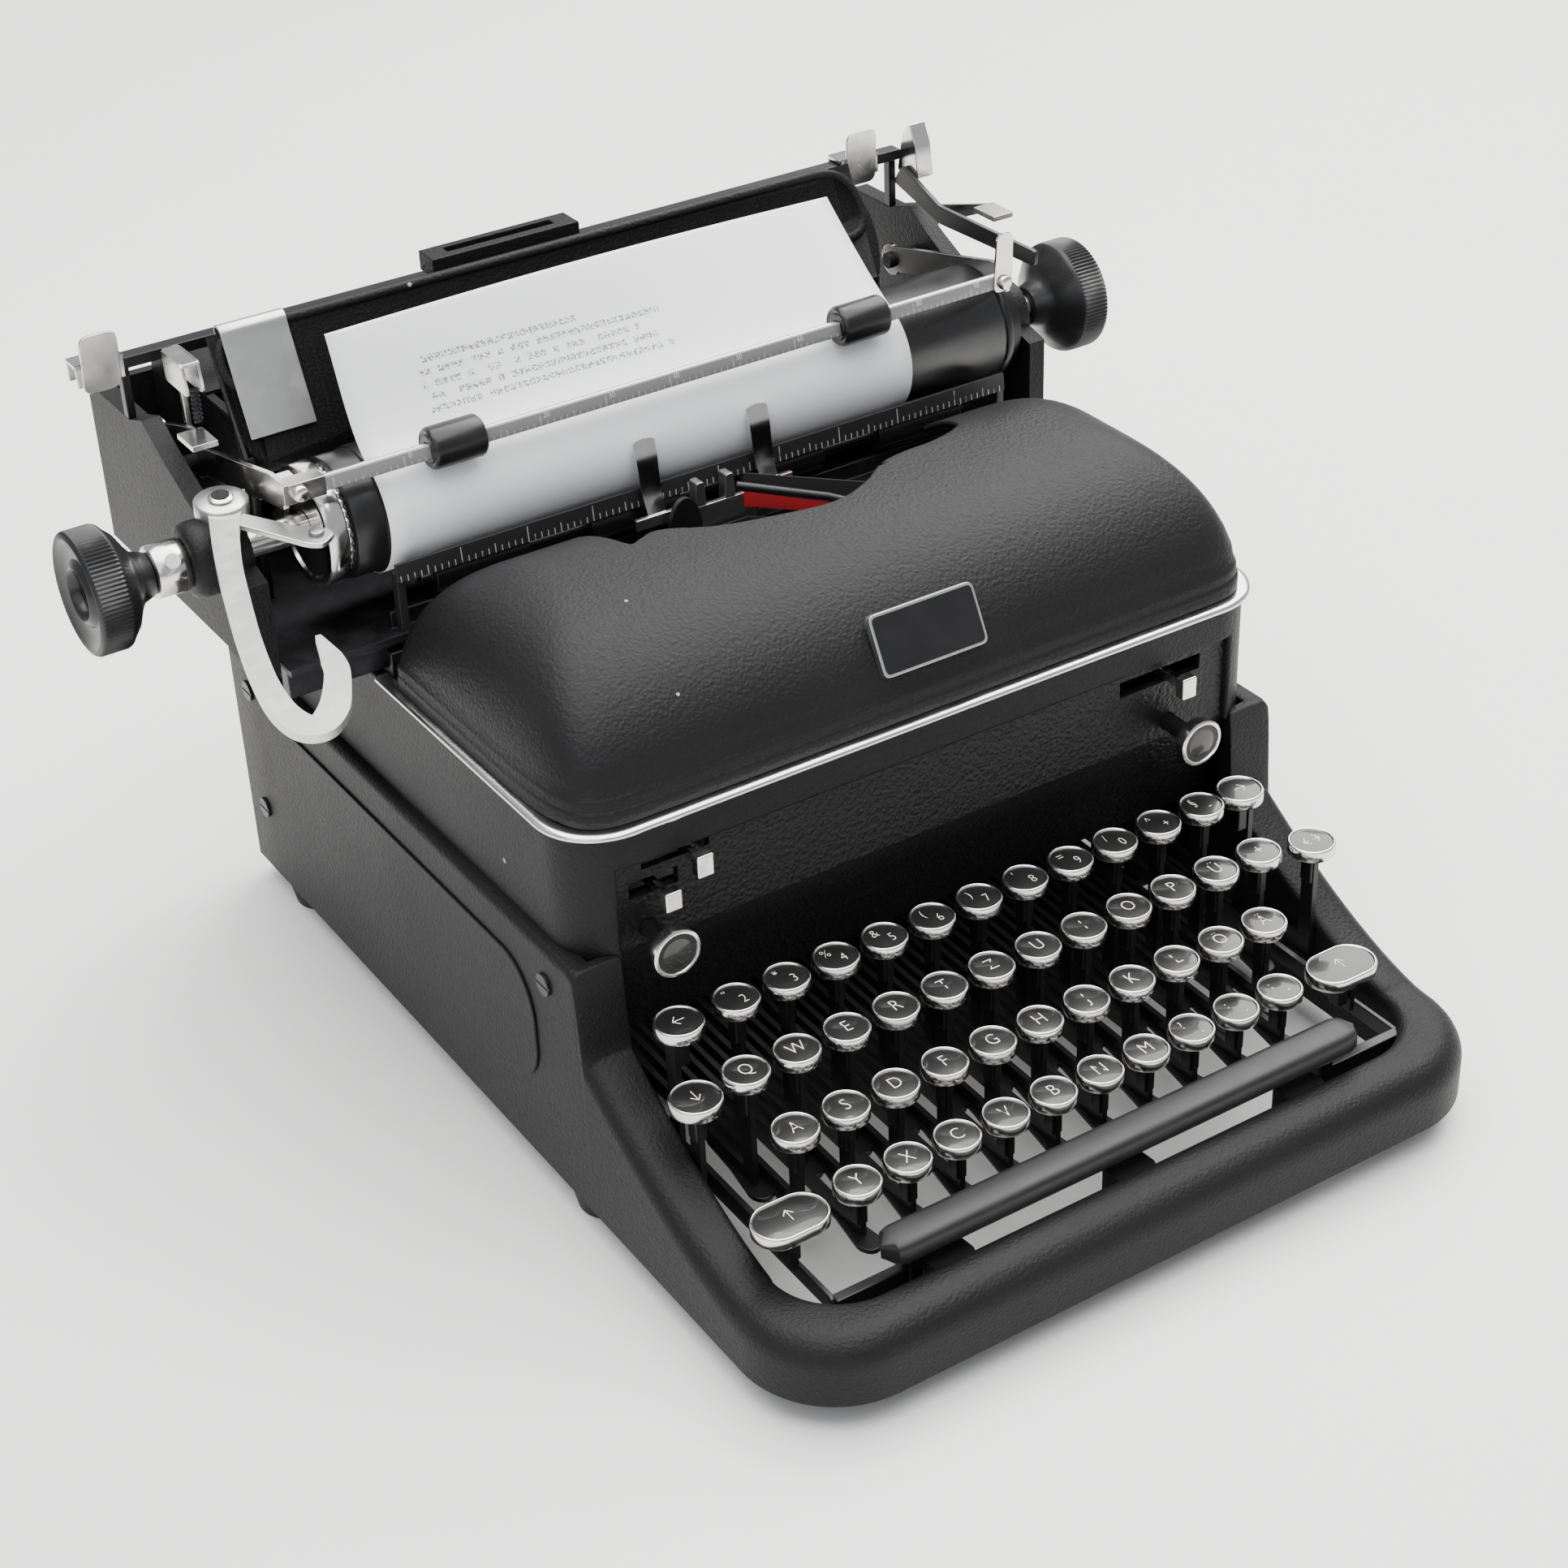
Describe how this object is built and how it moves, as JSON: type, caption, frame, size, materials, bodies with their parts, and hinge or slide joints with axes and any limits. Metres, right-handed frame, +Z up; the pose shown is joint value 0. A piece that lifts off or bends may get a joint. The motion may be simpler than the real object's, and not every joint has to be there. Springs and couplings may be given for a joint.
{
  "type": "manual desk typewriter",
  "caption": "Manual desk typewriter with a cast black body, hinged ribbon cover, sliding carriage, platen, paper bail and four banks of round keys.",
  "frame": {"origin": "table level, under the middle of the whole machine with its carriage as drawn", "axes": "+X to the typist's right, along the platen; +Y towards the back; +Z up"},
  "size_m": [0.403, 0.395, 0.262],
  "materials": {
    "body_paint": "black wrinkle enamel",
    "cover_paint": "black wrinkle enamel",
    "carriage_paint": "black wrinkle enamel",
    "frame_steel": "oiled steel",
    "rail_steel": "dark ground steel",
    "bright_nickel": "polished nickel",
    "satin_nickel": "satin nickel",
    "lever_enamel": "black enamel",
    "platen_rubber": "polished hard rubber",
    "feet_rubber": "matt rubber",
    "knob_plastic": "moulded, ribbed rim",
    "paper": "uncoated",
    "ribbon_fabric": "inked two-colour ribbon",
    "brass": "turned",
    "badge_metal": "blank plate with a bright border"
  },
  "bodies": {
    "body": {"body_shell": "body_paint", "front_panel": "body_paint", "side_plate_left": "body_paint", "side_plate_right": "body_paint", "trim_strip": "bright_nickel", "feet": "feet_rubber", "body_screws": "frame_steel", "chassis": "frame_steel", "carriage_rails": "rail_steel", "key_fulcrum_rod": "frame_steel", "type_guide": "satin_nickel", "ribbon": "ribbon_fabric"},
    "cover": {"ribbon_cover": "cover_paint", "name_badge": "badge_metal"},
    "basket": {"type_segment": "frame_steel", "typebars": "frame_steel"},
    "spool_left": {"ribbon_spool_left": "rail_steel"},
    "spool_right": {"ribbon_spool_right": "rail_steel"},
    "drum": {"mainspring_drum": "brass"},
    "escapement": {"escapement_wheel": "brass"},
    "carriage": {"carriage_beam": "rail_steel", "end_casting_left": "carriage_paint", "end_casting_right": "carriage_paint", "paper_table": "carriage_paint", "paper_scale": "rail_steel", "paper_sheet": "paper", "margin_rack": "frame_steel"},
    "guide": {"paper_guide": "satin_nickel"},
    "support": {"paper_support": "carriage_paint"},
    "stop_left": {"margin_stop_left": "bright_nickel"},
    "stop_right": {"margin_stop_right": "bright_nickel"},
    "release_left": {"carriage_release_left": "bright_nickel"},
    "release_right": {"carriage_release_right": "bright_nickel"},
    "spacer": {"line_space_lever": "bright_nickel"},
    "return_arm": {"return_lever": "satin_nickel"},
    "bail": {"bail_arms": "bright_nickel", "bail_bar": "satin_nickel"},
    "bail_wheel_left": {"bail_roller_left": "feet_rubber"},
    "bail_wheel_right": {"bail_roller_right": "feet_rubber"},
    "platen": {"platen_roller": "platen_rubber", "platen_shaft": "bright_nickel", "knob_left": "knob_plastic", "knob_right": "knob_plastic", "ratchet_wheel": "bright_nickel"},
    "feed": {"feed_rollers": "feet_rubber"},
    "number_row": {"number_row_keys": "lever_enamel"},
    "upper_row": {"upper_row_keys": "lever_enamel"},
    "home_row": {"home_row_keys": "lever_enamel"},
    "lower_row": {"lower_row_keys": "lever_enamel"},
    "shift": {"shift_keys": "lever_enamel"},
    "shift_lock": {"shift_lock_key": "lever_enamel"},
    "backspace": {"backspace_key": "lever_enamel"},
    "tabulator": {"tabulator_key": "lever_enamel"},
    "margin_release": {"margin_release_key": "lever_enamel"},
    "space": {"space_bar": "knob_plastic"},
    "tab_set": {"tab_set_key": "bright_nickel"},
    "tab_clear": {"tab_clear_key": "bright_nickel"},
    "selector": {"colour_selector": "bright_nickel"},
    "touch": {"touch_lever": "bright_nickel"},
    "stencil": {"stencil_lever": "bright_nickel"}
  },
  "joints": [
    {"name": "carriage_travel", "type": "slide", "parent": "body", "child": "carriage", "axis": [-1, 0, 0], "range_m": [-0.11, 0.11]},
    {"name": "return_swing", "type": "hinge", "parent": "carriage", "child": "return_arm", "pos_m": [-0.148, 0.0875, 0.214], "axis": [0, -0.0958, 0.9954], "range_deg": [0, 12], "stiffness_Nm_per_rad": 0.15, "springref_deg": -11.46},
    {"name": "platen_turn", "type": "hinge", "parent": "carriage", "child": "platen", "pos_m": [0.0265, 0.0855, 0.2005], "axis": [1, 0, 0], "continuous": true},
    {"name": "feed_turn", "type": "hinge", "parent": "carriage", "child": "feed", "pos_m": [0.0215, 0.06689, 0.17832], "axis": [1, 0, 0], "continuous": true},
    {"name": "bail_lift", "type": "hinge", "parent": "carriage", "child": "bail", "pos_m": [0.0265, 0.1385, 0.208], "axis": [-1, 0, 0], "range_deg": [0, 40]},
    {"name": "bail_wheel_left_turn", "type": "hinge", "parent": "bail", "child": "bail_wheel_left", "pos_m": [-0.0725, 0.0671, 0.2243], "axis": [1, 0, 0], "continuous": true},
    {"name": "bail_wheel_right_turn", "type": "hinge", "parent": "bail", "child": "bail_wheel_right", "pos_m": [0.0895, 0.0671, 0.2243], "axis": [1, 0, 0], "continuous": true},
    {"name": "guide_slide", "type": "slide", "parent": "carriage", "child": "guide", "axis": [1, 0, 0], "range_m": [0, 0.05]},
    {"name": "support_lift", "type": "slide", "parent": "carriage", "child": "support", "axis": [0, 0, 1], "range_m": [0, 0.03]},
    {"name": "stop_left_slide", "type": "slide", "parent": "carriage", "child": "stop_left", "axis": [1, 0, 0], "range_m": [0, 0.12]},
    {"name": "stop_right_slide", "type": "slide", "parent": "carriage", "child": "stop_right", "axis": [-1, 0, 0], "range_m": [0, 0.12]},
    {"name": "release_left_press", "type": "hinge", "parent": "carriage", "child": "release_left", "pos_m": [-0.1405, 0.1545, 0.214], "axis": [1, 0, 0], "range_deg": [0, 10], "stiffness_Nm_per_rad": 0.2, "springref_deg": -8.59},
    {"name": "release_right_press", "type": "hinge", "parent": "carriage", "child": "release_right", "pos_m": [0.1845, 0.1545, 0.214], "axis": [1, 0, 0], "range_deg": [0, 10], "stiffness_Nm_per_rad": 0.2, "springref_deg": -8.59},
    {"name": "spacer_set", "type": "hinge", "parent": "carriage", "child": "spacer", "pos_m": [-0.1235, 0.1005, 0.196], "axis": [-1, 0, 0], "range_deg": [0, 15]},
    {"name": "cover_open", "type": "hinge", "parent": "body", "child": "cover", "pos_m": [0.0265, -0.0692, 0.1528], "axis": [1, 0, 0], "range_deg": [0, 75]},
    {"name": "basket_drop", "type": "slide", "parent": "body", "child": "basket", "axis": [0, 0, -1], "range_m": [0, 0.0085]},
    {"name": "spool_left_turn", "type": "hinge", "parent": "body", "child": "spool_left", "pos_m": [-0.0575, -0.0115, 0.158], "axis": [0, 0, 1], "continuous": true},
    {"name": "spool_right_turn", "type": "hinge", "parent": "body", "child": "spool_right", "pos_m": [0.1105, -0.0115, 0.158], "axis": [0, 0, 1], "continuous": true},
    {"name": "drum_turn", "type": "hinge", "parent": "body", "child": "drum", "pos_m": [-0.0535, 0.1545, 0.118], "axis": [0, 1, 0], "range_deg": [-240, 240]},
    {"name": "escapement_turn", "type": "hinge", "parent": "body", "child": "escapement", "pos_m": [0.0365, 0.1545, 0.118], "axis": [0, 1, 0], "range_deg": [-640, 640]},
    {"name": "number_row_press", "type": "hinge", "parent": "body", "child": "number_row", "pos_m": [0.0265, 0.1025, 0.042], "axis": [1, 0, 0], "range_deg": [0, 3.57], "stiffness_Nm_per_rad": 14, "springref_deg": -10.31},
    {"name": "upper_row_press", "type": "hinge", "parent": "body", "child": "upper_row", "pos_m": [0.0265, 0.1025, 0.042], "axis": [1, 0, 0], "range_deg": [0, 2.8], "stiffness_Nm_per_rad": 14, "springref_deg": -10.31},
    {"name": "home_row_press", "type": "hinge", "parent": "body", "child": "home_row", "pos_m": [0.0265, 0.1025, 0.042], "axis": [1, 0, 0], "range_deg": [0, 3.2], "stiffness_Nm_per_rad": 14, "springref_deg": -10.31},
    {"name": "lower_row_press", "type": "hinge", "parent": "body", "child": "lower_row", "pos_m": [0.0265, 0.1025, 0.042], "axis": [1, 0, 0], "range_deg": [0, 2.94], "stiffness_Nm_per_rad": 14, "springref_deg": -10.31},
    {"name": "shift_press", "type": "hinge", "parent": "body", "child": "shift", "pos_m": [0.0265, 0.1025, 0.042], "axis": [1, 0, 0], "range_deg": [0, 1.81], "stiffness_Nm_per_rad": 5, "springref_deg": -10.31},
    {"name": "shift_lock_press", "type": "hinge", "parent": "body", "child": "shift_lock", "pos_m": [0.0265, 0.1025, 0.042], "axis": [1, 0, 0], "range_deg": [0, 2.17], "stiffness_Nm_per_rad": 3, "springref_deg": -10.31},
    {"name": "backspace_press", "type": "hinge", "parent": "body", "child": "backspace", "pos_m": [0.0265, 0.1025, 0.042], "axis": [1, 0, 0], "range_deg": [0, 3.56], "stiffness_Nm_per_rad": 3, "springref_deg": -10.31},
    {"name": "tabulator_press", "type": "hinge", "parent": "body", "child": "tabulator", "pos_m": [0.0265, 0.1025, 0.042], "axis": [1, 0, 0], "range_deg": [0, 3.56], "stiffness_Nm_per_rad": 3, "springref_deg": -10.31},
    {"name": "margin_release_press", "type": "hinge", "parent": "body", "child": "margin_release", "pos_m": [0.0265, 0.1025, 0.042], "axis": [1, 0, 0], "range_deg": [0, 2.35], "stiffness_Nm_per_rad": 3, "springref_deg": -10.31},
    {"name": "space_press", "type": "hinge", "parent": "body", "child": "space", "pos_m": [0.0265, 0.1025, 0.042], "axis": [1, 0, 0], "range_deg": [0, 0.67], "stiffness_Nm_per_rad": 8, "springref_deg": -10.31},
    {"name": "tab_set_push", "type": "slide", "parent": "body", "child": "tab_set", "axis": [0, 1, 0], "range_m": [0, 0.008], "stiffness_N_per_m": 60, "springref_m": -0.004},
    {"name": "tab_clear_push", "type": "slide", "parent": "body", "child": "tab_clear", "axis": [0, 1, 0], "range_m": [0, 0.008], "stiffness_N_per_m": 60, "springref_m": -0.004},
    {"name": "selector_slide", "type": "slide", "parent": "body", "child": "selector", "axis": [1, 0, 0], "range_m": [-0.016, 0.011]},
    {"name": "touch_slide", "type": "slide", "parent": "body", "child": "touch", "axis": [1, 0, 0], "range_m": [-0.012, 0.006]},
    {"name": "stencil_slide", "type": "slide", "parent": "body", "child": "stencil", "axis": [1, 0, 0], "range_m": [-0.006, 0.006]}
  ],
  "couplings": [
    {"joint": "drum_turn", "follows": "carriage_travel", "rad_per_m": 33.333},
    {"joint": "escapement_turn", "follows": "carriage_travel", "rad_per_m": -100},
    {"joint": "basket_drop", "follows": "shift_press", "m_per_rad": 0.2656},
    {"joint": "spool_right_turn", "follows": "spool_left_turn", "ratio": 1}
  ]
}
